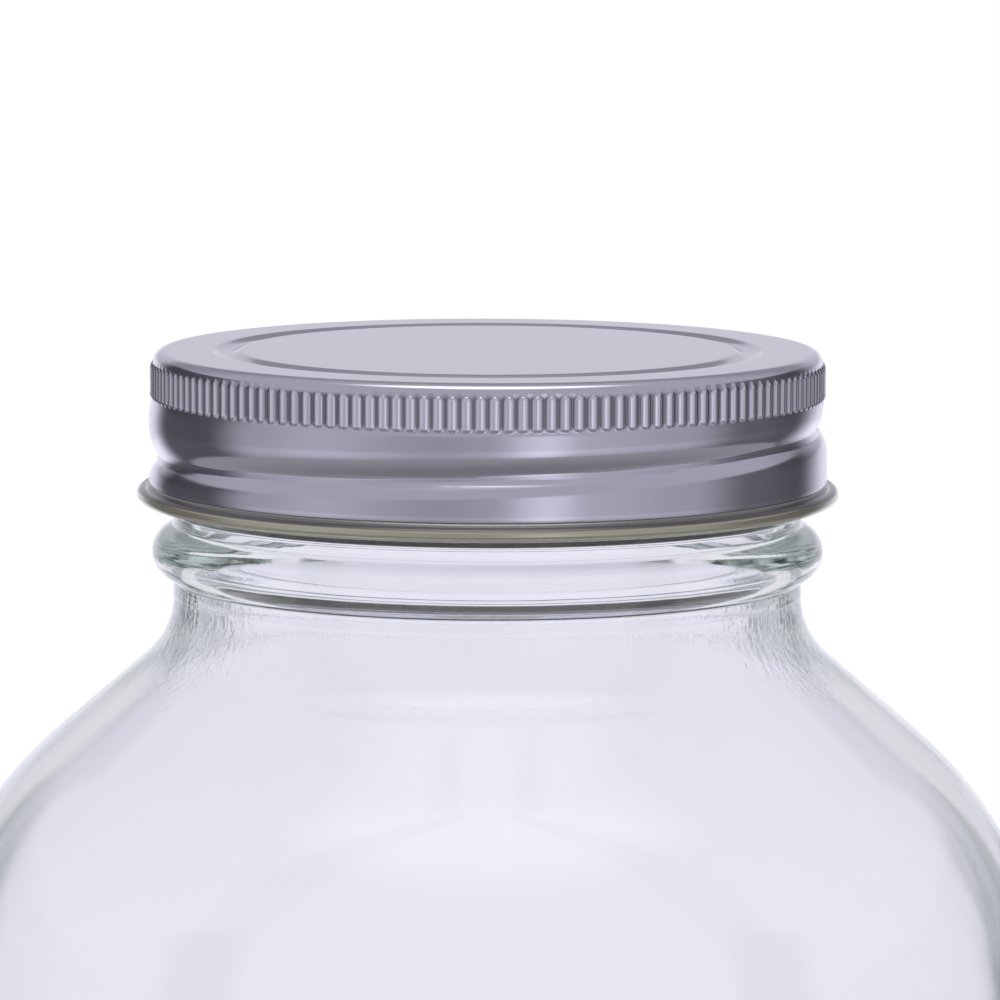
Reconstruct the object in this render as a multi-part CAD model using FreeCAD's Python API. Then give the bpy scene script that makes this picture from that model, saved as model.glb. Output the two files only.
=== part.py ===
import FreeCAD, Part
import math
import os

# A clear glass storage jar of the three-litre class, closed by a one-piece tinplate screw lid.
# Millimetres, +Z up. The origin is the centre of the plane that the jar rests on, and Z is its axis.
# Heights inside the finish are taken as depths below the top of the lid, where everything seats.

# Overall
total_height = 246.0
body_diameter = 152.0
lid_diameter = 89.0
lid_height = 19.8

# Glass body
glass_wall = 3.6
base_thickness = 6.5
push_up = 5.0
foot_width = 5.0
heel_radius = 16.0
inner_heel_radius = 12.0
shoulder_round_radius = 53.0
shoulder_slope_length = 16.0
shoulder_hollow_radius = 11.3

# Neck, transfer ring and rim
ring_height = 2.85
ring_crest_radius = 3.46
ring_fillet_radius = 0.7
ring_gap = 2.8
neck_land = 1.8
rim_rounding = 1.1

# Lid sheet, panel and corner
sheet = 0.25
corner_radius = 1.5
channel_radius = 34.4
channel_depth = 0.6
channel_crest_radius = 2.6
channel_fillet_radius = 1.2

# Knurled grip
rib_count = 156
rib_height = 0.3
rib_width = 1.3
rib_slope = 0.2
band_step = 0.05
knurl_bottom = 6.2

# Skirt below the knurl, and the curled edge
skirt_step = 0.3
skirt_ramp = 0.7
skirt_taper = 0.25
curl_radius = 0.95

# Rolled thread of the lid, and the glass thread above it
thread_lead = 8.6
thread_top_angle = 59.0
thread_fade = 35.0
roll_depth = 1.3
roll_radius = 2.6
roll_margin = 2.4
glass_thread_radius = 1.5
thread_clearance = 0.15
crest_clearance = 0.25
finish_clearance = 1.75

# Sealing ring under the panel
liner_thickness = 0.9
liner_width = 4.5
liner_clearance = 0.2

# Where the pieces meet
knurl_radius = lid_diameter / 2
groove_floor_radius = knurl_radius - rib_height
band_radius = groove_floor_radius + band_step
band_inner_radius = groove_floor_radius - sheet
skirt_radius = knurl_radius + skirt_step
roll_inner_radius = skirt_radius - roll_depth - sheet
finish_radius = roll_inner_radius - finish_clearance
thread_crest_radius = band_inner_radius - crest_clearance
bore_radius = finish_radius - glass_wall
body_radius = body_diameter / 2
rim_depth = sheet + liner_thickness
rim_z = total_height - rim_depth
thread_section_angle = 20.0
joined = 1e-7


class Outline:
    """A closed half section in the XZ plane, drawn point by point and turned about Z into a solid."""

    def __init__(self):
        self.edges = []
        self.start = None
        self.here = None

    def to(self, radius, z):
        """A straight line to a point, or the first point."""
        point = FreeCAD.Vector(radius, 0, z)
        if self.start is None:
            self.start = point
        elif point.distanceToPoint(self.here) > joined:
            self.edges.append(Part.LineSegment(self.here, point).toShape())
        self.here = point

    def through(self, middle, end):
        """An arc from where the outline stands, through a point, to another."""
        self.edges.append(Part.Arc(self.here, middle, end).toShape())
        self.here = end

    def around(self, radius, z, arc_radius, first, last):
        """An arc about a centre, between two angles in degrees from +X towards +Z."""
        points = []
        for angle in (first, (first + last) / 2, last):
            turn = math.radians(angle)
            points.append(FreeCAD.Vector(radius + arc_radius * math.cos(turn), 0, z + arc_radius * math.sin(turn)))
        self.to(points[0].x, points[0].z)
        self.through(points[1], points[2])

    def bead(self, foot, along, out, height, crest_radius, fillet_radius):
        """A rounded bead across a straight stretch: a fillet, the crest and a fillet, each tangent to the next."""
        reach = bead_reach(height, crest_radius, fillet_radius)
        crest = foot + out * (height - crest_radius)
        share = crest_radius / (crest_radius + fillet_radius)
        ends = [foot - along * reach, foot + along * reach]
        centres = [end + out * fillet_radius for end in ends]
        contacts = [crest + (centre - crest) * share for centre in centres]
        middles = []
        for end, centre, contact in zip(ends, centres, contacts):
            bisector = (end - centre) + (contact - centre)
            middles.append(centre + bisector * (fillet_radius / bisector.Length))
        self.to(ends[0].x, ends[0].z)
        self.through(middles[0], contacts[0])
        self.through(crest + out * crest_radius, contacts[1])
        self.through(middles[1], ends[1])

    def turned(self):
        """The solid of revolution."""
        self.to(self.start.x, self.start.z)
        face = Part.Face(Part.Wire(self.edges))
        return face.revolve(FreeCAD.Vector(0, 0, 0), FreeCAD.Vector(0, 0, 1), 360)


def bead_reach(height, crest_radius, fillet_radius):
    """Half the width of a bead between the ends of its fillets."""
    both = crest_radius + fillet_radius
    return math.sqrt(both**2 - (both - height) ** 2)


# Heights of the glass that follow from the lid above it
ring_reach = bead_reach(ring_height, ring_crest_radius, ring_fillet_radius)
lid_bottom_z = total_height - lid_height
curl_top_z = lid_bottom_z + 2 * curl_radius
ring_z = lid_bottom_z - ring_gap - ring_reach
neck_z = ring_z - ring_reach - neck_land

# The shoulder is a hollow arc, a straight slope and a round arc; its lean is what makes them span neck to body
shoulder_span = body_radius - finish_radius
shoulder_arcs = shoulder_hollow_radius + shoulder_round_radius
shoulder_lean = math.asin((shoulder_span - shoulder_arcs) / math.hypot(shoulder_slope_length, shoulder_arcs))
shoulder_lean += math.atan2(shoulder_arcs, shoulder_slope_length)
shoulder_height = shoulder_arcs * math.sin(shoulder_lean) + shoulder_slope_length * math.cos(shoulder_lean)
shoulder_z = neck_z - shoulder_height
lean_degrees = math.degrees(shoulder_lean)

# The push-up is a shallow dome inside the foot ring, and the floor of the jar is concentric with it
foot_outer_radius = body_radius - heel_radius
foot_inner_radius = foot_outer_radius - foot_width
dome_radius = (foot_inner_radius**2 + push_up**2) / (2 * push_up)
dome_z = push_up - dome_radius
floor_radius = dome_radius + base_thickness

# The thread helix: it starts just under the knurl and winds down until it reaches the curl
roll_top_depth = knurl_bottom + roll_margin
roll_bottom_depth = lid_height - 2 * curl_radius - roll_margin
thread_sweep = 360 * (roll_bottom_depth - roll_top_depth) / thread_lead
roll_centre_radius = skirt_radius - roll_depth + roll_radius
glass_thread_centre_radius = thread_crest_radius - glass_thread_radius
thread_reach = roll_radius + sheet + glass_thread_radius + thread_clearance
thread_rise = math.sqrt(thread_reach**2 - (roll_centre_radius - glass_thread_centre_radius) ** 2)


def glass_outer():
    """The outside of the jar as a filled solid: push-up, foot, heel, body, shoulder, ring and finish."""
    outline = Outline()
    foot_angle = math.degrees(math.atan2(-dome_z, foot_inner_radius))
    outline.around(0, dome_z, dome_radius, 90, foot_angle)
    outline.around(foot_outer_radius, heel_radius, heel_radius, -90, 0)
    outline.around(body_radius - shoulder_round_radius, shoulder_z, shoulder_round_radius, 0, lean_degrees)
    hollow_centre_radius = finish_radius + shoulder_hollow_radius
    outline.around(hollow_centre_radius, neck_z, shoulder_hollow_radius, 180 + lean_degrees, 180)
    ring_foot = FreeCAD.Vector(finish_radius, 0, ring_z)
    up = FreeCAD.Vector(0, 0, 1)
    outward = FreeCAD.Vector(1, 0, 0)
    outline.bead(ring_foot, up, outward, ring_height, ring_crest_radius, ring_fillet_radius)
    outline.around(finish_radius - rim_rounding, rim_z - rim_rounding, rim_rounding, 0, 90)
    outline.to(0, rim_z)
    return outline.turned()


def glass_cavity():
    """The space inside the jar, one wall inside its outer surface, with a domed floor and a rounded mouth."""
    outline = Outline()
    heel_centre_radius = body_radius - glass_wall - inner_heel_radius
    heel_reach = floor_radius + inner_heel_radius
    heel_centre_z = dome_z + math.sqrt(heel_reach**2 - heel_centre_radius**2)
    floor_angle = math.degrees(math.atan2(heel_centre_z - dome_z, heel_centre_radius))
    outline.around(0, dome_z, floor_radius, 90, floor_angle)
    outline.around(heel_centre_radius, heel_centre_z, inner_heel_radius, floor_angle - 180, 0)
    round_radius = shoulder_round_radius - glass_wall
    outline.around(body_radius - shoulder_round_radius, shoulder_z, round_radius, 0, lean_degrees)
    hollow_radius = shoulder_hollow_radius + glass_wall
    outline.around(finish_radius + shoulder_hollow_radius, neck_z, hollow_radius, 180 + lean_degrees, 180)
    outline.around(bore_radius + rim_rounding, rim_z - rim_rounding, rim_rounding, 180, 90)
    outline.to(bore_radius + rim_rounding, total_height)
    outline.to(0, total_height)
    return outline.turned()


def thread_bar(bar_radius, centre_radius, rise, end_shift):
    """A round bar wound along the thread, whose ends move in or out by end_shift so that it fades away."""
    sections = []
    steps = math.ceil(thread_sweep / thread_section_angle)
    for step in range(steps + 1):
        wound = thread_sweep * step / steps
        from_end = min(wound, thread_sweep - wound)
        fade = 0.5 + 0.5 * math.cos(math.pi * min(from_end / thread_fade, 1))
        turn = math.radians(thread_top_angle - wound)
        radius = centre_radius + end_shift * fade
        z = total_height - roll_top_depth - thread_lead * wound / 360 + rise
        centre = FreeCAD.Vector(radius * math.cos(turn), radius * math.sin(turn), z)
        along = FreeCAD.Vector(math.sin(turn), -math.cos(turn), 0)
        sections.append(Part.Wire(Part.Circle(centre, along, bar_radius).toShape()))
    return Part.makeLoft(sections, True, False)


def jar():
    """The glass: the outside with its thread, hollowed."""
    thread_height = thread_crest_radius - finish_radius
    thread = thread_bar(glass_thread_radius, glass_thread_centre_radius, thread_rise, -thread_height - thread_clearance)
    return glass_outer().fuse(thread).cut(glass_cavity())


def lid_panel(outline, drop, crest_radius, fillet_radius):
    """The lid's flat top from the axis over the pressed channel, a given drop below the top."""
    outline.to(0, total_height - drop)
    foot = FreeCAD.Vector(channel_radius, 0, total_height - drop)
    outward = FreeCAD.Vector(1, 0, 0)
    down = FreeCAD.Vector(0, 0, -1)
    outline.bead(foot, outward, down, channel_depth, crest_radius, fillet_radius)


def lid_top():
    """The filled solid above the knurl: the panel and the rounded corner."""
    outline = Outline()
    lid_panel(outline, 0, channel_crest_radius, channel_fillet_radius)
    outline.around(band_radius - corner_radius, total_height - corner_radius, corner_radius, 90, 0)
    outline.to(0, total_height - corner_radius)
    return outline.turned()


def lid_skirt():
    """The filled solid below the knurl, down to the middle of the curl."""
    outline = Outline()
    outline.to(0, total_height - knurl_bottom)
    outline.to(band_radius, total_height - knurl_bottom)
    outline.to(skirt_radius, total_height - knurl_bottom - skirt_ramp)
    outline.to(skirt_radius, curl_top_z + skirt_ramp)
    outline.to(skirt_radius - skirt_taper, curl_top_z)
    outline.to(skirt_radius - skirt_taper, lid_bottom_z + curl_radius)
    outline.to(0, lid_bottom_z + curl_radius)
    return outline.turned()


def lid_cavity():
    """The space inside the lid, one sheet inside its outer surface."""
    outline = Outline()
    lid_panel(outline, sheet, channel_crest_radius + sheet, channel_fillet_radius - sheet)
    inner_corner = corner_radius - sheet
    outline.around(band_inner_radius - inner_corner, total_height - corner_radius, inner_corner, 90, 0)
    outline.to(band_inner_radius, total_height - knurl_bottom)
    outline.to(skirt_radius - sheet, total_height - knurl_bottom - skirt_ramp)
    outline.to(skirt_radius - sheet, curl_top_z + skirt_ramp)
    outline.to(skirt_radius - skirt_taper - sheet, curl_top_z)
    outline.to(skirt_radius - skirt_taper - sheet, lid_bottom_z - ring_gap)
    outline.to(0, lid_bottom_z - ring_gap)
    return outline.turned()


def polygon(points):
    """A flat face with these corners."""
    return Part.Face(Part.makePolygon(points + points[:1]))


def knurl_ring():
    """The grip band as a solid ring: raised ribs with sloped flanks and ends, and flat grooves between them."""
    bottom = total_height - knurl_bottom
    top = total_height - corner_radius
    levels = (bottom, bottom + rib_slope, top - rib_slope, top)
    foot_angle = rib_width / 2 / groove_floor_radius
    crest_angle = (rib_width / 2 - rib_slope) / knurl_radius
    pitch = 2 * math.pi / rib_count
    faces = []
    edges = {bottom: [], top: []}

    def corner(radius, angle, z):
        return FreeCAD.Vector(radius * math.cos(angle), radius * math.sin(angle), z)

    for number in range(rib_count):
        middle = number * pitch
        left = middle - foot_angle
        right = middle + foot_angle
        foot = [corner(groove_floor_radius, angle, z) for angle, z in
                ((left, bottom), (right, bottom), (right, top), (left, top))]
        crest = [corner(knurl_radius, angle, z) for angle, z in
                 ((middle - crest_angle, levels[1]), (middle + crest_angle, levels[1]),
                  (middle + crest_angle, levels[2]), (middle - crest_angle, levels[2]))]
        faces.append(polygon(crest))
        for side in range(4):
            after = (side + 1) % 4
            faces.append(polygon([foot[side], foot[after], crest[after], crest[side]]))
        beyond = left + pitch
        next_foot = [corner(groove_floor_radius, beyond, bottom), corner(groove_floor_radius, beyond, top)]
        faces.append(polygon([foot[1], next_foot[0], next_foot[1], foot[2]]))
        edges[bottom] += foot[:2]
        edges[top] += [foot[3], foot[2]]
    faces += [polygon(edges[bottom]), polygon(edges[top])]
    shell = Part.makeShell(faces)
    shell.sewShape()
    return Part.Solid(shell)


def curl():
    """The wire edge: the sheet's lower end curled outwards into a bead."""
    centre_radius = skirt_radius - skirt_taper - sheet / 2 + curl_radius
    return Part.makeTorus(centre_radius, curl_radius, FreeCAD.Vector(0, 0, lid_bottom_z + curl_radius))


def lid():
    """The tinplate lid: panel, knurl, skirt with its rolled thread, and curl, hollowed to one sheet."""
    groove = thread_bar(roll_radius, roll_centre_radius, 0, roll_depth + thread_clearance)
    inner_groove = thread_bar(roll_radius + sheet, roll_centre_radius, 0, roll_depth + thread_clearance)
    outside = lid_top().fuse([knurl_ring(), lid_skirt().cut(groove), curl()])
    return outside.cut(lid_cavity().cut(inner_groove))


def lid_liner():
    """The sealing ring between the lid's panel and the rim of the glass."""
    outer_radius = band_radius - corner_radius - liner_clearance
    base = FreeCAD.Vector(0, 0, rim_z)
    ring = Part.makeCylinder(outer_radius, liner_thickness, base)
    return ring.cut(Part.makeCylinder(outer_radius - liner_width, liner_thickness, base))


os.makedirs("parts", exist_ok=True)
for name, shape in (("jar", jar()), ("lid", lid()), ("lid_liner", lid_liner())):
    shape.Solids[0].exportStep("parts/" + name + ".step")
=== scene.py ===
"""A clear glass storage jar closed by a knurled tinplate screw lid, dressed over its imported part.

The glass and the lid's two skins are half sections turned by geometry nodes, which also roll the thread and
press the knurl. Sizes are in millimetres until a section is handed over, and heights are from the plane that
the jar rests on.
"""
import math

import bpy
from mathutils import Matrix, Vector


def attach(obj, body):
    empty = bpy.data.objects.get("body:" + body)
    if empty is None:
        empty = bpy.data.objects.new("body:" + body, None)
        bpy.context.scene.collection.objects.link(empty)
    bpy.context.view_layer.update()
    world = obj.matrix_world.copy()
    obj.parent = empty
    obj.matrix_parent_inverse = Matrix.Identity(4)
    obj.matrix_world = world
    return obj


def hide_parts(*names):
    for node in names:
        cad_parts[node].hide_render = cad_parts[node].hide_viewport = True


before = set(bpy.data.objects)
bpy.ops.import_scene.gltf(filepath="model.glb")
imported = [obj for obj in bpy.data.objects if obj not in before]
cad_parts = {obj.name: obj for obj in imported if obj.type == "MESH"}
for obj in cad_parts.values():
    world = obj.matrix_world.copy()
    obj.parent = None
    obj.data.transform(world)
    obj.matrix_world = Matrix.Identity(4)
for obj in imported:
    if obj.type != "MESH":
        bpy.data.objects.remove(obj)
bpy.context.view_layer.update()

MM = 0.001
WELD = 1e-6

# Lid sheet: heights of its levels and radii of its outer face
LID_TOP = 246.0
CORNER = 1.5
KNURL_TOP = LID_TOP - CORNER
KNURL_BOTTOM = LID_TOP - 6.2
KNURL_RADIUS = 44.15
SKIRT_RADIUS = 44.8
FLARE = 0.13
FLARE_START = 0.82
BARREL_SWELL = 0.5
BARREL_HEIGHT = 4.0
CURL_SIZE = 0.95
CURL_CENTRE = (45.375, 227.15)
SKIRT_BOTTOM = CURL_CENTRE[1] + CURL_SIZE + 0.7
SKIRT_TAPER = 0.25
CHANNEL_RADIUS = 34.4
CHANNEL_DEPTH = 0.6
SKIN = 0.12
LINING_FACE = 0.13
SHEET = 0.25

# Knurl: pill-shaped ribs pressed outward
RIBS = 156
RIB_SAMPLES = 8
RIB_WIDTH = 1.48
RIB_HEIGHT = 0.4

# Thread: a roll pressed into the skirt, and a ridge on the glass just above it
LEAD = 8.6
THREAD_START = 59.0
THREAD_SWEEP = 288.8
THREAD_FADE = 35.0
ROLL_TOP = LID_TOP - 8.6
ROLL_DEPTH = 1.42
ROLL_REACH_UP = 2.03
ROLL_REACH_DOWN = 1.25
ROLL_SHARPNESS = 1.4
ROLL_EASE = 0.14
RIDGE_RISE = 2.245
RIDGE_CENTRE = 42.2
RIDGE_SIZE = 1.5

# Glass
BODY_RADIUS = 76.0
WALL = 3.6
NECK_RADIUS = 41.5
NECK_Z = 213.7
SHOULDER_Z = 154.5
SHOULDER_LEAN = 49.3
ROUND_SIZE = 53.0
HOLLOW_SIZE = 11.3
HEEL_SIZE = 16.0
INNER_HEEL = 12.0
FOOT_WIDTH = 5.0
DOME_SIZE = 305.0
DOME_Z = -300.0
BASE = 6.5
RING_Z = 219.45
RIM_Z = 244.85
RIM_ROUND = 1.1
RIDGE_SINK = 2.4
ABOVE_RING = 6.0
NECK_WAVINESS = 0.18
BODY_WAVINESS = 0.12

# Finishes: colours, some of them painted light and shade, the heights over which the neck's peening and the
# painted glow's streaking come and go, and after how many turns inside the glass that glow stands in for
# caught light
TIN = (0.66, 0.655, 0.735, 1)
# Painted highlight: the brighter tin laid on the knurl's crests
TIN_PAINTED_HIGHLIGHT = (0.86, 0.85, 0.94, 1)
LACQUER = (0.5, 0.48, 0.385, 1)
# Painted shade: the dark colour laid on the lacquer in the crease over the curl
CREASE_SHADE = (0.12, 0.12, 0.11, 1)
CREASE_Z = CURL_CENTRE[1] + 0.5
# Painted shade: how far the tin goes towards black in the gaps between the knurl's ribs
GAP_PAINTED_SHADE = 0.62
GLASS = (0.905, 0.905, 0.962, 1)
# Painted glow: the colour the glass gives off after many turns inside it, standing in for light caught there
PAINTED_GLOW_COLOUR = (0.22, 0.26, 0.25, 1)
PAINTED_GLOW_AFTER_TURNS = 2.5
PEENING_STARTS = (200.0, 206.0)
PEENING_ENDS = (215.5, 217.0)
PEENING_DEPTH = 0.05
PAINTED_GLOW_STREAKING_START = (205.0, 212.0)

# Room
FLOOR_RADIUS = 0.5
CAMERA_PLACE = (0, -0.801, 0.326)
CAMERA_TURN = -0.117
CAMERA_DIP = 7.12
CAMERA_ROLL = 0.003
LENS = 219.6


def arc(centre, size, first, last, steps):
    """Points along an arc in the half section, between two angles in degrees from outward towards up."""
    turns = [math.radians(first + (last - first) * step / steps) for step in range(steps + 1)]
    return [(centre[0] + size * math.cos(turn), centre[1] + size * math.sin(turn)) for turn in turns]


def line(first, last, steps):
    """Points along a straight line, with both ends."""
    return [tuple(Vector(first).lerp(Vector(last), step / steps)) for step in range(steps + 1)]


def bead(foot, along, out, height, crest, fillet, steps):
    """Points over a rounded bead on a straight stretch: a fillet, the crest and a fillet."""
    foot, along, out = Vector(foot), Vector(along), Vector(out)
    both = crest + fillet
    lean = math.acos((both - height) / both)
    points = []
    for side, order in ((-1, 1), (1, -1)):
        end = foot + side * along * both * math.sin(lean)
        turned = [lean * step / steps for step in range(steps)][::order]
        flank = [end + out * (fillet - fillet * math.cos(turn)) - side * along * fillet * math.sin(turn)
                 for turn in turned]
        if side > 0:
            cap = [lean * (step / steps - 1) for step in range(2 * steps + 1)]
            points += [foot + out * (height - crest + crest * math.cos(turn)) + along * crest * math.sin(turn)
                       for turn in cap]
        points += flank
    return [tuple(point) for point in points]


def joined(*stretches):
    """The stretches as one outline, without repeated points."""
    outline = []
    for point in [point for stretch in stretches for point in stretch]:
        if not outline or math.dist(point, outline[-1]) > 0.004:
            outline.append(point)
    return outline


def lid_panel(drop):
    """The panel from the axis over its pressed channel, a given drop below the lid's top."""
    z = LID_TOP - drop
    channel = bead((CHANNEL_RADIUS, z), (1, 0), (0, -1), CHANNEL_DEPTH, 2.6 + drop, 1.2 - drop, 3)
    within = [(0, z), (channel[0][0] - 0.2, z)]
    beyond = [(channel[-1][0] + 0.2, z), (KNURL_RADIUS - CORNER - 0.2, z)]
    return within + channel + beyond


def lid_side(drop, knurl_rows, skirt_rows):
    """The corner, knurl band and skirt, a given drop inside the sheet's outer face, from the top down."""
    corner = arc((KNURL_RADIUS - CORNER, KNURL_TOP), CORNER - drop, 90, 0, 5)
    flares = [max(share - FLARE_START, 0) / (1 - FLARE_START) * FLARE for share in knurl_rows]
    depths = [(KNURL_TOP - KNURL_BOTTOM) * share for share in knurl_rows]
    band = [(KNURL_RADIUS - drop + flare, KNURL_TOP - depth) for flare, depth in zip(flares, depths)]
    heights = [z for _, z in line((0, KNURL_BOTTOM - 0.12), (0, SKIRT_BOTTOM), skirt_rows)]
    swells = [max(1 - (KNURL_BOTTOM - z) / BARREL_HEIGHT, 0) ** 2 * BARREL_SWELL for z in heights]
    skirt = [(SKIRT_RADIUS - drop - swell, z) for swell, z in zip(swells, heights)]
    tapered = SKIRT_RADIUS - SKIRT_TAPER - drop
    foot = [(tapered + 0.05, CURL_CENTRE[1] + CURL_SIZE + 0.1), (tapered, CURL_CENTRE[1] + CURL_SIZE - 0.1)]
    return joined(corner, band, skirt, foot)


def lid_skin_section():
    """The lid's bare tinned skin: out over the panel, down the knurl and the skirt, and back inside."""
    heads = [0, 0.03, 0.06, 0.095, 0.135, 0.18, 0.28]
    knurl_rows = heads + [0.5] + [1 - share for share in heads[::-1]]
    outside = joined(lid_panel(0), lid_side(0, knurl_rows, 20), [(SKIRT_RADIUS - SKIRT_TAPER, 227.66)])
    inside = joined([(0, LID_TOP - SKIN)], [(KNURL_RADIUS - CORNER, LID_TOP - CHANNEL_DEPTH - SKIN)],
                    lid_side(SKIN, [0, 1], 9)[5:], [(SKIRT_RADIUS - SKIRT_TAPER - SKIN, 227.66)])
    return outside + inside[::-1]


def lining_section():
    """The lid's lacquered lining, which ends in the curled edge."""
    rows = [0, 0.33, 0.67, 1]
    curl = arc(CURL_CENTRE, CURL_SIZE, 148, -180, 30)
    outside = joined(lid_panel(LINING_FACE), lid_side(LINING_FACE, rows, 16), curl)
    foot = [(SKIRT_RADIUS - SKIRT_TAPER - SHEET, 227.4)]
    inside = joined(lid_panel(SHEET), lid_side(SHEET, rows, 16), foot)
    return outside + inside[::-1]


def jar_section():
    """The glass: push-up, foot, heel, body, shoulder, neck, transfer ring and rim, then down the inside."""
    foot = BODY_RADIUS - HEEL_SIZE
    foot_turn = math.degrees(math.atan2(-DOME_Z, foot - FOOT_WIDTH))
    round_centre = (BODY_RADIUS - ROUND_SIZE, SHOULDER_Z)
    hollow_centre = (NECK_RADIUS + HOLLOW_SIZE, NECK_Z)
    bore = NECK_RADIUS - WALL
    steps_out = ((0.01, 0.15), (0.07, 0.3), (0, 0.45))
    parting = [(NECK_RADIUS + out, NECK_Z + up) for out, up in steps_out]
    outside = joined(
        arc((0, DOME_Z), DOME_SIZE, 90, foot_turn, 5),
        arc((foot, HEEL_SIZE), HEEL_SIZE, -90, 0, 10),
        line((BODY_RADIUS, HEEL_SIZE), (BODY_RADIUS, SHOULDER_Z), 8),
        arc(round_centre, ROUND_SIZE, 0, SHOULDER_LEAN, 18),
        arc(hollow_centre, HOLLOW_SIZE, 180 + SHOULDER_LEAN, 180, 10),
        parting,
        bead((NECK_RADIUS, RING_Z), (0, 1), (1, 0), 2.85, 3.46, 0.7, 6),
        line((NECK_RADIUS, RING_Z + 4.2), (NECK_RADIUS, RIM_Z - RIM_ROUND), 26),
        arc((NECK_RADIUS - RIM_ROUND, RIM_Z - RIM_ROUND), RIM_ROUND, 0, 90, 4),
    )
    heel_centre_radius = BODY_RADIUS - WALL - INNER_HEEL
    heel_reach = DOME_SIZE + BASE + INNER_HEEL
    heel_centre = (heel_centre_radius, DOME_Z + math.sqrt(heel_reach ** 2 - heel_centre_radius ** 2))
    floor_turn = math.degrees(math.atan2(heel_centre[1] - DOME_Z, heel_centre_radius))
    inside = joined(
        arc((bore + RIM_ROUND, RIM_Z - RIM_ROUND), RIM_ROUND, 90, 180, 4),
        line((bore, RIM_Z - RIM_ROUND), (bore, NECK_Z), 10),
        arc(hollow_centre, HOLLOW_SIZE + WALL, 180, 180 + SHOULDER_LEAN, 10),
        arc(round_centre, ROUND_SIZE - WALL, SHOULDER_LEAN, 0, 18),
        line((BODY_RADIUS - WALL, SHOULDER_Z), (BODY_RADIUS - WALL, heel_centre[1]), 8),
        arc(heel_centre, INNER_HEEL, 0, floor_turn - 180, 8),
        arc((0, DOME_Z), DOME_SIZE + BASE, floor_turn, 90, 4),
    )
    return outside + inside


class Wires:
    """Adds nodes to one tree and joins sockets or plain values to their inputs."""

    def __init__(self, tree):
        self.tree = tree

    def add(self, kind, *values, **settings):
        """A node whose first inputs take these values; None leaves an input alone."""
        node = self.tree.nodes.new(kind)
        for name, value in settings.items():
            setattr(node, name, value)
        for socket, value in zip(node.inputs, values):
            self.put(socket, value)
        return node

    def put(self, socket, value):
        """Joins a socket to an input, or sets its plain value."""
        if isinstance(value, bpy.types.NodeSocket):
            self.tree.links.new(value, socket)
        elif value is not None:
            socket.default_value = value

    def math(self, operation, *values):
        """The result of one operation on sockets or plain values."""
        return self.add("ShaderNodeMath", *values, operation=operation).outputs[0]

    def remap(self, value, low, high, start=0.0, end=1.0):
        """A smooth step from start to end while value goes from low to high."""
        node = self.add("ShaderNodeMapRange", value, low, high, start, end, interpolation_type="SMOOTHSTEP")
        return node.outputs[0]


def length(wires, first, second):
    """The distance that two distances at right angles make."""
    squares = wires.math("MULTIPLY", first, first), wires.math("MULTIPLY", second, second)
    return wires.math("SQRT", wires.math("ADD", *squares))


def wound(wires, angle):
    """Degrees wound down the thread from its start, and how full the thread is there."""
    turned = wires.math("SUBTRACT", THREAD_START, wires.math("DEGREES", angle))
    along = wires.math("FLOORED_MODULO", turned, 360.0)
    rising = wires.remap(along, 0.0, THREAD_FADE)
    falling = wires.remap(along, THREAD_SWEEP - THREAD_FADE, THREAD_SWEEP, 1.0, 0.0)
    return along, wires.math("MULTIPLY", rising, falling)


def thread_offset(wires, angle, z, rise):
    """A height's offset from the thread's line, a given rise above the roll, and how full the thread is."""
    along, fullness = wound(wires, angle)
    line_z = wires.math("MULTIPLY_ADD", along, -LEAD * MM / 360, (ROLL_TOP + rise) * MM)
    return wires.math("SUBTRACT", z, line_z), fullness


def bulge(wires, offset, size):
    """Half the height of a circle of this size, at an offset from its middle."""
    square = wires.math("MULTIPLY", offset, offset)
    return wires.math("SQRT", wires.math("SUBTRACT", (size * MM) ** 2, square))


def rolled_groove(wires, angle, radius, z):
    """The radius with the thread's roll pressed into the skirt: a tight valley between swelling flanks."""
    offset, fullness = thread_offset(wires, angle, z, 0.0)
    square = wires.math("MULTIPLY_ADD", offset, offset, (ROLL_EASE * MM) ** 2)
    above = wires.math("GREATER_THAN", offset, 0.0)
    reach = wires.math("MULTIPLY_ADD", above, (ROLL_REACH_UP - ROLL_REACH_DOWN) * MM, ROLL_REACH_DOWN * MM)
    away = wires.math("POWER", wires.math("DIVIDE", wires.math("SQRT", square), reach), ROLL_SHARPNESS)
    sunk = wires.math("MULTIPLY", wires.math("EXPONENT", wires.math("MULTIPLY", away, -1.0)), ROLL_DEPTH * MM)
    below_knurl = wires.remap(z, (KNURL_BOTTOM - 1.2) * MM, KNURL_BOTTOM * MM, 1.0, 0.0)
    pressed = wires.math("MULTIPLY", wires.math("MULTIPLY", sunk, fullness), below_knurl)
    return wires.math("SUBTRACT", radius, pressed)


def knurl_ribs(wires, share, radius, z, count, height):
    """The radius with the pill-shaped ribs pressed outward in the knurl band."""
    pitch = 2 * math.pi * KNURL_RADIUS * MM / RIBS
    middle = (KNURL_TOP + KNURL_BOTTOM) / 2 * MM
    half_straight = (KNURL_TOP - KNURL_BOTTOM - RIB_WIDTH) / 2 * MM
    within_rib = wires.math("FRACT", wires.math("MULTIPLY", share, count))
    across = wires.math("MULTIPLY", wires.math("SUBTRACT", within_rib, 0.5), pitch)
    from_middle = wires.math("ABSOLUTE", wires.math("SUBTRACT", z, middle))
    past = wires.math("MAXIMUM", wires.math("SUBTRACT", from_middle, half_straight), 0.0)
    outward = wires.math("DIVIDE", length(wires, across, past), RIB_WIDTH / 2 * MM)
    dome = wires.math("MAXIMUM", wires.math("SUBTRACT", 1.0, wires.math("MULTIPLY", outward, outward)), 0.0)
    return wires.math("MULTIPLY_ADD", wires.math("POWER", dome, 0.75), height, radius)


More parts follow.
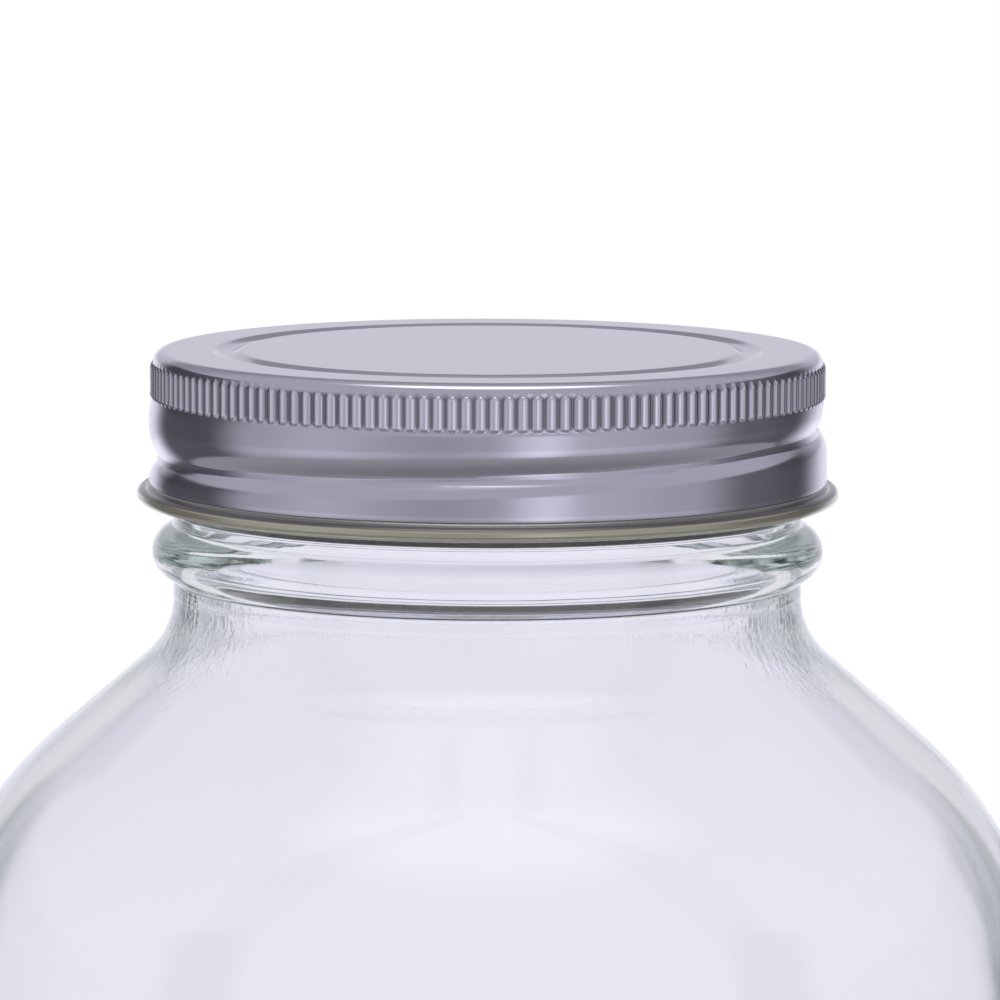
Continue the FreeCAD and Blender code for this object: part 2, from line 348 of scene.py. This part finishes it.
def lid_skin_radius(wires, inputs, share, angle, radius, z):
    """The tinned skin: knurled and rolled."""
    ribbed = knurl_ribs(wires, share, radius, z, inputs["Rib count"], inputs["Rib height"])
    return rolled_groove(wires, angle, ribbed, z)


def lining_radius(wires, inputs, share, angle, radius, z):
    """The lacquered lining: rolled with the skin."""
    return rolled_groove(wires, angle, radius, z)


def jar_radius(wires, inputs, share, angle, radius, z):
    """The glass: a thread ridge on the finish, and slight moulding waves, most inside the neck."""
    offset, fullness = thread_offset(wires, angle, z, RIDGE_RISE)
    ridge = wires.math("ADD", bulge(wires, offset, RIDGE_SIZE), RIDGE_CENTRE * MM)
    sunk = wires.math("MULTIPLY_ADD", wires.math("SUBTRACT", 1.0, fullness), -RIDGE_SINK * MM, ridge)
    on_finish = wires.math("GREATER_THAN", radius, (NECK_RADIUS - 0.01) * MM)
    above_ring = wires.math("GREATER_THAN", z, (RING_Z + ABOVE_RING) * MM)
    where = wires.math("MULTIPLY", on_finish, above_ring)
    ridged = wires.math("MAXIMUM", wires.math("MULTIPLY", sunk, where), radius)
    place = wires.add("ShaderNodeCombineXYZ", wires.math("COSINE", angle), wires.math("SINE", angle),
                      wires.math("MULTIPLY", z, 16.0)).outputs[0]
    swing = wires.math("SUBTRACT", noise(wires, place, 3.2, 2.0, 0.45), 0.5)
    inner = wires.math("LESS_THAN", radius, (NECK_RADIUS - 0.2) * MM)
    in_neck = wires.math("MULTIPLY", inner, wires.remap(z, (NECK_Z - 3) * MM, NECK_Z * MM))
    amount = wires.math("MULTIPLY_ADD", in_neck, inputs["Neck waviness"], inputs["Body waviness"])
    off_axis = wires.remap(radius, 5 * MM, 30 * MM)
    clear_of_foot = wires.remap(z, 4 * MM, 16 * MM)
    held = wires.math("MULTIPLY", wires.math("MULTIPLY", amount, off_axis), clear_of_foot)
    inward = wires.math("MULTIPLY", wires.math("ABSOLUTE", swing), -1.0)
    return wires.math("MULTIPLY_ADD", inward, held, ridged)


def turned_piece(name, section, segments, radius_rule, material, clustering=0.0, inputs=()):
    """A closed skin of revolution: the half section turned about the axis, its radii set by a rule."""
    tree = bpy.data.node_groups.new(name + "_turned", "GeometryNodeTree")
    face = tree.interface
    face.new_socket("Geometry", in_out="INPUT", socket_type="NodeSocketGeometry")
    values = [("Segments", "NodeSocketInt", segments)] + list(inputs)
    keys = []
    for label, kind, value in values:
        keys.append((face.new_socket(label, in_out="INPUT", socket_type=kind).identifier, value))
    face.new_socket("Geometry", in_out="OUTPUT", socket_type="NodeSocketGeometry")
    wires = Wires(tree)
    given = wires.add("NodeGroupInput").outputs
    rows = wires.add("GeometryNodeAttributeDomainSize", given["Geometry"]).outputs["Point Count"]
    count = given["Segments"]
    grid = wires.add("GeometryNodeMeshGrid", 1.0, 1.0, wires.math("ADD", count, 1.0), rows).outputs[0]
    index = wires.add("GeometryNodeInputIndex").outputs[0]
    column = wires.math("FLOOR", wires.math("DIVIDE", wires.math("ADD", index, 0.5), rows))
    row = wires.math("SUBTRACT", index, wires.math("MULTIPLY", column, rows))
    place = wires.add("GeometryNodeInputPosition").outputs[0]
    sample = wires.add("GeometryNodeSampleIndex", data_type="FLOAT_VECTOR", domain="POINT")
    wires.put(sample.inputs["Geometry"], given["Geometry"])
    wires.put(sample.inputs["Value"], place)
    wires.put(sample.inputs["Index"], row)
    half = wires.add("ShaderNodeSeparateXYZ", sample.outputs[0]).outputs
    share = wires.math("DIVIDE", column, count)
    if clustering:
        beat = wires.math("SINE", wires.math("MULTIPLY", share, 2 * math.pi * RIBS))
        share = wires.math("MULTIPLY_ADD", beat, -clustering / (2 * math.pi * RIBS), share)
    angle = wires.math("MULTIPLY", share, 2 * math.pi)
    radius = radius_rule(wires, given, share, angle, half[0], half[2])
    x = wires.math("MULTIPLY", radius, wires.math("COSINE", angle))
    y = wires.math("MULTIPLY", radius, wires.math("SINE", angle))
    where = wires.add("ShaderNodeCombineXYZ", x, y, half[2]).outputs[0]
    moved = wires.add("GeometryNodeSetPosition")
    wires.put(moved.inputs["Geometry"], grid)
    wires.put(moved.inputs["Position"], where)
    welded = wires.add("GeometryNodeMergeByDistance")
    wires.put(welded.inputs["Geometry"], moved.outputs[0])
    wires.put(welded.inputs["Distance"], WELD)
    smooth = wires.add("GeometryNodeSetShadeSmooth")
    wires.put(smooth.inputs["Geometry"], welded.outputs[0])
    flat = wires.add("GeometryNodeRealizeInstances", smooth.outputs[0]).outputs[0]
    dressed = wires.add("GeometryNodeSetMaterial")
    wires.put(dressed.inputs["Geometry"], flat)
    wires.put(dressed.inputs["Material"], material)
    wires.add("NodeGroupOutput", dressed.outputs[0])

    points = [(radius * MM, 0, z * MM) for radius, z in section]
    mesh = bpy.data.meshes.new(name + "_section")
    mesh.from_pydata(points, [(k, k + 1) for k in range(len(points) - 1)], [])
    piece = bpy.data.objects.new(name, mesh)
    bpy.context.scene.collection.objects.link(piece)
    modifier = piece.modifiers.new("turned", "NODES")
    modifier.node_group = tree
    for key, value in keys:
        modifier[key] = value
    evaluated = piece.evaluated_get(bpy.context.evaluated_depsgraph_get())
    solid = bpy.data.meshes.new_from_object(evaluated)
    piece.modifiers.remove(modifier)
    piece.data = solid
    solid.name = name
    bpy.data.meshes.remove(mesh)
    triangles = sum(len(polygon.vertices) - 2 for polygon in solid.polygons)
    print(name, "rows", len(section), "triangles", triangles)
    return piece


def new_material(name):
    """A material with a principled shader, and the wires to its tree."""
    material = bpy.data.materials.new(name)
    material.use_nodes = True
    return material, Wires(material.node_tree), material.node_tree.nodes["Principled BSDF"]


def settle(shader, **values):
    """Sets a shader's inputs by name, with _ for a space."""
    for name, value in values.items():
        shader.inputs[name.replace("_", " ")].default_value = value


def object_place(wires, scale):
    """The object's own coordinates, scaled along each axis."""
    place = wires.add("ShaderNodeTexCoord").outputs["Object"]
    return wires.add("ShaderNodeVectorMath", place, scale, operation="MULTIPLY").outputs[0]


def noise(wires, vector, scale, detail=3.0, roughness=0.5):
    """A noise value between 0 and 1 at a place."""
    node = wires.add("ShaderNodeTexNoise", noise_dimensions="3D")
    for name, value in (("Vector", vector), ("Scale", scale), ("Detail", detail), ("Roughness", roughness)):
        wires.put(node.inputs[name], value)
    return node.outputs[0]


def round_place(wires):
    """A point's distance from the jar's axis, and its height."""
    place = wires.add("ShaderNodeTexCoord").outputs["Object"]
    x, y, height = wires.add("ShaderNodeSeparateXYZ", place).outputs
    return length(wires, x, y), height


def bumped(wires, shader, height, distance):
    """Raises a shader's surface by a height field."""
    bump = wires.add("ShaderNodeBump")
    for name, value in (("Strength", 1.0), ("Distance", distance), ("Height", height)):
        wires.put(bump.inputs[name], value)
    wires.put(shader.inputs["Normal"], bump.outputs[0])


def tinplate():
    """Bare tinned sheet: a faint grain, with painted shade between the knurl's ribs and a painted highlight
    on them.
    """
    material, wires, shader = new_material("tinplate")
    settle(shader, Metallic=1.0)
    radius, height = round_place(wires)
    # Painted shade darkens the tin towards black in the gaps between the ribs, and a painted highlight
    # brightens their crests, within the knurl band
    low = wires.remap(radius, (KNURL_RADIUS + 0.04) * MM, (KNURL_RADIUS + 0.24) * MM, GAP_PAINTED_SHADE, 0.0)
    crest = wires.remap(radius, (KNURL_RADIUS + 0.2) * MM, (KNURL_RADIUS + 0.36) * MM)
    top = wires.remap(height, (KNURL_TOP - 0.5) * MM, (KNURL_TOP + 0.1) * MM, 1.0, 0.0)
    foot = wires.remap(height, (KNURL_BOTTOM + 0.1) * MM, (KNURL_BOTTOM + 0.8) * MM)
    band = wires.math("MULTIPLY", top, foot)
    crest_highlighted = blended(wires, wires.math("MULTIPLY", crest, band), TIN, TIN_PAINTED_HIGHLIGHT)
    shaded = blended(wires, wires.math("MULTIPLY", low, band), crest_highlighted, (0.0, 0.0, 0.0, 1))
    wires.put(shader.inputs["Base Color"], shaded)
    grain = noise(wires, object_place(wires, (1, 1, 1)), 900.0)
    wires.put(shader.inputs["Roughness"], wires.math("MULTIPLY_ADD", grain, 0.06, 0.1))
    bumped(wires, shader, grain, 0.000003)
    return material


def lacquer():
    """Tinplate under a clear gold lacquer, with painted shade in the crease over the curl."""
    material, wires, shader = new_material("gold_lacquer")
    settle(shader, Metallic=0.75, Coat_Weight=0.3, Coat_Roughness=0.1)
    radius, height = round_place(wires)
    # Painted shade: the lacquer turns dark on the curl's top and outer side, where the crease under the skirt
    # is
    high = wires.remap(height, (CREASE_Z - 0.1) * MM, (CREASE_Z + 0.1) * MM)
    outside = wires.remap(radius, (CURL_CENTRE[0] - 0.25) * MM, (CURL_CENTRE[0] - 0.05) * MM)
    crease = wires.math("MULTIPLY", high, outside)
    wires.put(shader.inputs["Base Color"], blended(wires, crease, LACQUER, CREASE_SHADE))
    grain = noise(wires, object_place(wires, (1, 1, 1)), 500.0)
    wires.put(shader.inputs["Roughness"], wires.math("MULTIPLY_ADD", grain, 0.08, 0.14))
    return material


def clear_glass():
    """Colourless glass, which lets the lamp's light through, with a faint painted glow after a few turns
    inside it, streaky near the neck and above, standing in for light caught in it.
    """
    material, wires, shader = new_material("clear_glass")
    settle(shader, Base_Color=GLASS, Roughness=0.0, IOR=1.52, Transmission_Weight=1.0)
    height = round_place(wires)[1]
    peening = [wires.remap(height, PEENING_STARTS[0] * MM, PEENING_STARTS[1] * MM),
               wires.remap(height, PEENING_ENDS[0] * MM, PEENING_ENDS[1] * MM, 1.0, 0.0)]
    neck = wires.math("MULTIPLY", *peening)
    peened = wires.math("MULTIPLY", noise(wires, object_place(wires, (1, 1, 0.5)), 1100.0), neck)
    bumped(wires, shader, peened, PEENING_DEPTH * MM)
    through = wires.add("ShaderNodeBsdfTransparent", (0.86, 0.86, 0.9, 1)).outputs[0]
    path = wires.add("ShaderNodeLightPath").outputs
    # Painted glow: once a path has turned more than a few times inside the glass, the glass gives off a faint
    # grey-green light, streaky near the neck and above
    glow_streak_noise = noise(wires, object_place(wires, (1, 1, 5)), 130.0)
    glow_streaking = wires.math("MULTIPLY", wires.remap(glow_streak_noise, 0.35, 0.65, -1.2, 1.0),
                          wires.remap(height, PAINTED_GLOW_STREAKING_START[0] * MM, PAINTED_GLOW_STREAKING_START[1] * MM))
    glow = wires.math("ADD", glow_streaking, 1.4)
    painted_glow = wires.add("ShaderNodeEmission", PAINTED_GLOW_COLOUR, glow).outputs[0]
    many = wires.math("GREATER_THAN", path["Glossy Depth"], PAINTED_GLOW_AFTER_TURNS)
    body = wires.add("ShaderNodeMixShader", many, shader.outputs[0], painted_glow).outputs[0]
    mixed = wires.add("ShaderNodeMixShader", path["Is Shadow Ray"], body, through).outputs[0]
    wires.put(material.node_tree.nodes["Material Output"].inputs[0], mixed)
    return material


def sealing_compound():
    """The soft ring under the panel."""
    material, wires, shader = new_material("sealing_compound")
    settle(shader, Base_Color=(0.82, 0.80, 0.74, 1))
    grain = noise(wires, object_place(wires, (1, 1, 1)), 400.0)
    wires.put(shader.inputs["Roughness"], wires.math("MULTIPLY_ADD", grain, 0.2, 0.5))
    bumped(wires, shader, grain, 0.00005)
    return material


def mirror_ray(wires, path):
    """1 for a ray that a surface has mirrored, and 0 for one that has gone through glass."""
    clear = wires.math("SUBTRACT", 1.0, path["Is Transmission Ray"])
    return wires.math("MULTIPLY", path["Is Glossy Ray"], clear)


def floor_material():
    """A pale floor that keeps the jar's shadow near it and runs out into plain white."""
    material, wires, shader = new_material("floor")
    settle(shader, Base_Color=(0.93, 0.93, 0.94, 1), Roughness=1.0)
    shader.inputs["Specular IOR Level"].default_value = 0.0
    place = wires.add("ShaderNodeTexCoord").outputs["Object"]
    reach = wires.add("ShaderNodeVectorMath", place, operation="LENGTH").outputs["Value"]
    out = wires.remap(reach, 0.16, FLOOR_RADIUS)
    white = wires.add("ShaderNodeEmission", (1, 1, 1, 1), 1.0).outputs[0]
    seen = wires.add("ShaderNodeMixShader", out, shader.outputs[0], white).outputs[0]
    level = wires.remap(reach, 0.1, 0.4, 0.2, 0.34)
    mirrored = wires.add("ShaderNodeEmission", (1, 1, 1.05, 1), level).outputs[0]
    in_metal = mirror_ray(wires, wires.add("ShaderNodeLightPath").outputs)
    mixed = wires.add("ShaderNodeMixShader", in_metal, seen, mirrored).outputs[0]
    wires.put(material.node_tree.nodes["Material Output"].inputs[0], mixed)
    return material


# The studio that the metal mirrors, by the compass direction from the front, in degrees: negative to the left
MIRRORED = (
    (-180, 1.0), (-160, 0.9), (-140, 0.1), (-110, 0.1), (-85, 0.45), (-60, 0.55), (-15, 0.4), (0, 0.45),
    (20, 0.85), (35, 0.55), (70, 0.45), (100, 0.15), (130, 0.1), (160, 0.9), (180, 1.0),
)
# Light that the glass bends in, by the angle from straight behind the jar: below the horizon and above it
BENT_SIDES = ((100, 0.95), (108, 0.2), (118, 0.2), (126, 1.0), (180, 1.0))
BENT_LOW = ((0, 1.0), (11, 1.0), (16, 0.1), (31, 0.05), (37, 0.95)) + BENT_SIDES
BENT_HIGH = ((0, 1.0), (24, 1.0), (28, 0.55), (34, 0.5), (38, 0.95)) + BENT_SIDES


def strip(wires, position, stops, low, high):
    """Grey levels along a ramp, whose stops are given between low and high."""
    node = wires.add("ShaderNodeValToRGB", position)
    ramp = node.color_ramp
    ramp.interpolation = "EASE"
    while len(ramp.elements) < len(stops):
        ramp.elements.new(0.5)
    for element, (at, level) in zip(ramp.elements, stops):
        element.position = (at - low) / (high - low)
        element.color = (level, level, level, 1)
    return node.outputs[0]


def blended(wires, share, first, second):
    """A colour that goes from first to second with share."""
    node = wires.add("ShaderNodeMix", data_type="RGBA")
    for place, value in ((0, share), (6, first), (7, second)):
        wires.put(node.inputs[place], value)
    return node.outputs[2]


def scaled(wires, colour, level):
    """A colour times a number."""
    node = wires.add("ShaderNodeVectorMath", colour, operation="SCALE")
    wires.put(node.inputs["Scale"], level)
    return node.outputs[0]


def light_the_room():
    """White seen directly, with the surroundings that metal mirrors and glass bends in."""
    world = bpy.data.worlds.new("studio")
    bpy.context.scene.world = world
    world.use_nodes = True
    wires = Wires(world.node_tree)
    toward = wires.add("ShaderNodeTexCoord").outputs["Generated"]
    x, y, z = wires.add("ShaderNodeSeparateXYZ", toward).outputs
    compass = wires.math("ARCTAN2", x, wires.math("MULTIPLY", y, -1.0))
    position = wires.math("MULTIPLY_ADD", compass, 0.5 / math.pi, 0.5)
    behind = wires.math("MULTIPLY_ADD", wires.math("ABSOLUTE", compass), -1 / math.pi, 1.0)
    walls = strip(wires, position, MIRRORED, -180, 180)
    mirrored = blended(wires, wires.remap(z, 0.28, 0.36), walls, (0.52, 0.52, 0.52, 1))
    rising = wires.remap(z, -0.75, -0.25, 0.45, 1.18)
    below = wires.math("MINIMUM", rising, wires.remap(z, -0.2, -0.15, 1.18, 1.0))
    dimmed = wires.math("MULTIPLY", wires.remap(z, 0.0, 0.1, 0.0, 0.34), wires.remap(y, 0.3, 0.8))
    level = wires.math("SUBTRACT", below, dimmed)
    tinted = wires.add("ShaderNodeVectorMath", mirrored, (0.98, 0.97, 1.08), operation="MULTIPLY").outputs[0]
    overhead = wires.math("MULTIPLY", wires.remap(z, 0.84, 0.97), wires.remap(y, -0.1, 0.15, 1.0, 0.0))
    metal_light = blended(wires, overhead, scaled(wires, tinted, level), (2.0, 2.0, 2.1, 1))
    low = strip(wires, behind, BENT_LOW, 0, 180)
    high = strip(wires, behind, BENT_HIGH, 0, 180)
    sides = blended(wires, wires.remap(z, -0.08, 0.0), low, high)
    around = wires.math("MAXIMUM", sides, wires.remap(z, -0.2, -0.3))
    bent = blended(wires, around, (0.14, 0.17, 0.19, 1), (1.0, 1.0, 1.0, 1))
    path = wires.add("ShaderNodeLightPath").outputs
    seen = wires.add("ShaderNodeMixShader", mirror_ray(wires, path))
    plain = wires.add("ShaderNodeBackground", (0.9, 0.9, 0.92, 1), 0.55).outputs[0]
    through = wires.add("ShaderNodeMixShader", path["Is Transmission Ray"], plain)
    wires.put(through.inputs[2], wires.add("ShaderNodeBackground", bent, 1.0).outputs[0])
    wires.put(seen.inputs[1], through.outputs[0])
    wires.put(seen.inputs[2], wires.add("ShaderNodeBackground", metal_light, 1.0).outputs[0])
    white = wires.add("ShaderNodeBackground", (1, 1, 1, 1), 1.0).outputs[0]
    shown = wires.add("ShaderNodeMixShader", path["Is Camera Ray"], seen.outputs[0], white).outputs[0]
    wires.put(world.node_tree.nodes["World Output"].inputs[0], shown)


def soft_lamp(name, place, size, power):
    """A square soft lamp aimed at the middle of the jar, which metal and glass don't mirror."""
    data = bpy.data.lights.new(name, "AREA")
    data.size = size
    data.energy = power
    lamp = bpy.data.objects.new(name, data)
    lamp.location = place
    lamp.rotation_euler = (Vector(place) - Vector((0, 0, 0.12))).to_track_quat("Z", "Y").to_euler()
    lamp.visible_glossy = False
    lamp.visible_transmission = False
    lamp.visible_camera = False
    bpy.context.scene.collection.objects.link(lamp)


light_the_room()
soft_lamp("top lamp", (-0.5, -0.4, 1.5), 1.4, 16.0)

bpy.ops.mesh.primitive_circle_add(vertices=96, radius=FLOOR_RADIUS, fill_type="NGON", location=(0, 0, 0))
floor = bpy.context.object
floor.name = "floor"
floor.data.materials.append(floor_material())

glass = turned_piece(
    "glass_jar", jar_section(), 512, jar_radius, clear_glass(),
    inputs=(("Neck waviness", "NodeSocketFloat", NECK_WAVINESS * MM),
            ("Body waviness", "NodeSocketFloat", BODY_WAVINESS * MM)))
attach(glass, "root")
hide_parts("jar")

tin = tinplate()
skin = turned_piece(
    "lid_skin", lid_skin_section(), RIBS * RIB_SAMPLES, lid_skin_radius, tin, clustering=0.5,
    inputs=(("Rib count", "NodeSocketInt", RIBS), ("Rib height", "NodeSocketFloat", RIB_HEIGHT * MM)))
lining = turned_piece("lid_lining", lining_section(), 288, lining_radius, lacquer())
for piece in (skin, lining):
    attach(piece, "root")
    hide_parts("lid")

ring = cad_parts["lid_liner"]
ring.data.materials.clear()
ring.data.materials.append(sealing_compound())

camera = bpy.data.objects.new("camera", bpy.data.cameras.new("camera"))
camera.data.lens = LENS
camera.data.clip_start = 0.01
bpy.context.scene.collection.objects.link(camera)
camera.matrix_world = (
    Matrix.Translation(CAMERA_PLACE)
    @ Matrix.Rotation(math.radians(CAMERA_TURN), 4, "Z")
    @ Matrix.Rotation(math.radians(90 - CAMERA_DIP), 4, "X")
    @ Matrix.Rotation(CAMERA_ROLL, 4, "Z")
)
bpy.context.scene.camera = camera
bpy.context.scene.view_settings.view_transform = "Standard"
